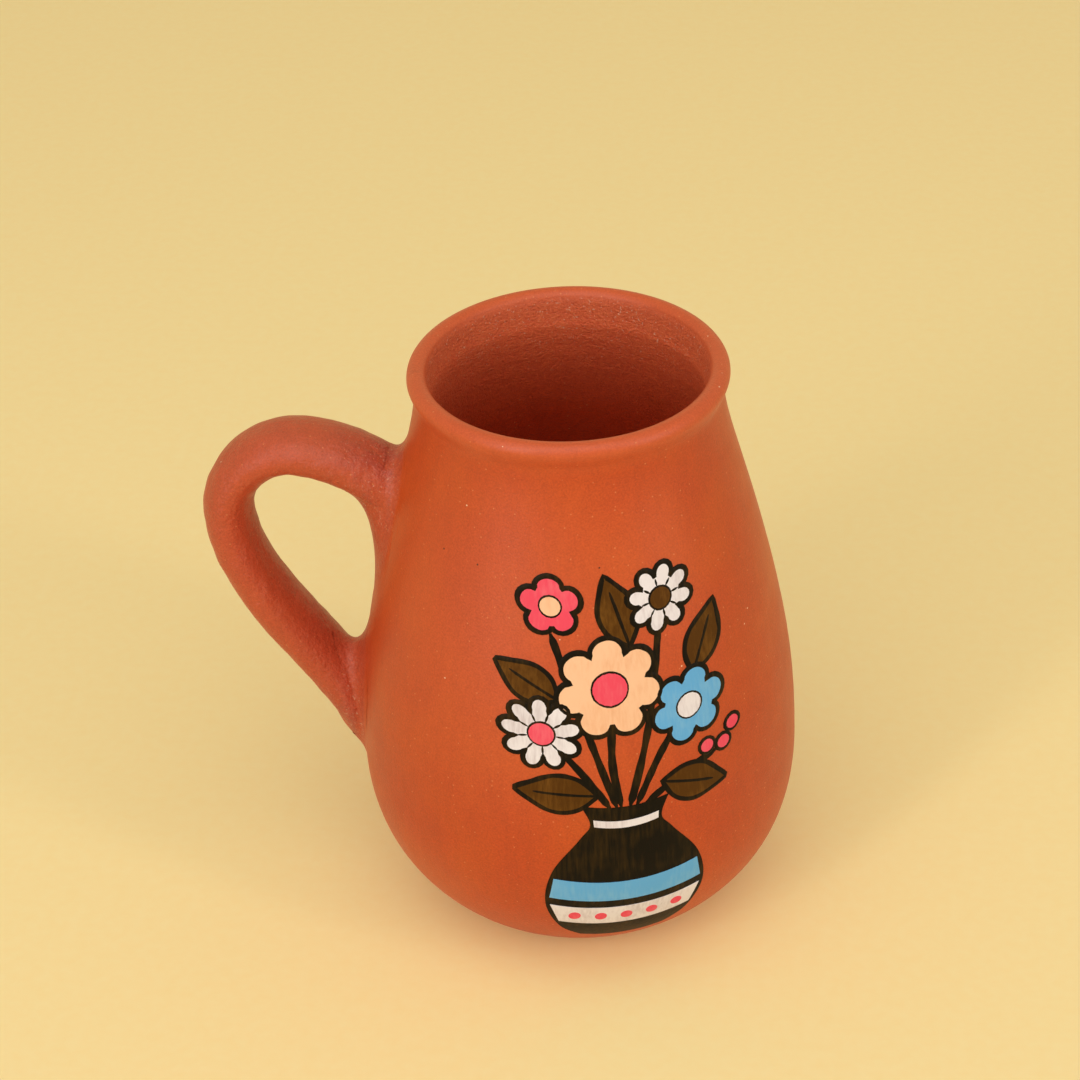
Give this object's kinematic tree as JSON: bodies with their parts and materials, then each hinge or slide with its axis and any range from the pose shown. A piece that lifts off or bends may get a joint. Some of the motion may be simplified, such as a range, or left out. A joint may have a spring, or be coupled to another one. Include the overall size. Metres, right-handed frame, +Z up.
{
  "type": "mug",
  "caption": "Pear-shaped thrown terracotta mug with a rolled lip and a pulled ear-shaped handle luted to the wall at both ends.",
  "frame": {"origin": "centre of the flat base, on the pot's axis, where it stands on the table", "axes": "+Z up along the pot's axis; the handle stands out towards -X, in the XZ plane; the painted front faces -Y"},
  "size_m": [0.1334, 0.1, 0.139],
  "materials": {
    "terracotta": "burnished, unglazed, satin-matte",
    "black_paint": "hand-brushed acrylic, satin",
    "brown_paint": "hand-brushed acrylic, satin",
    "white_paint": "hand-brushed acrylic, satin",
    "blue_paint": "hand-brushed acrylic, satin",
    "pink_paint": "hand-brushed acrylic, satin",
    "peach_paint": "hand-brushed acrylic, satin"
  },
  "bodies": {
    "root": {"thrown_pot": "terracotta", "pulled_handle": "terracotta", "upper_seat_fillet": "terracotta", "lower_seat_fillet": "terracotta"}
  },
  "joints": []
}
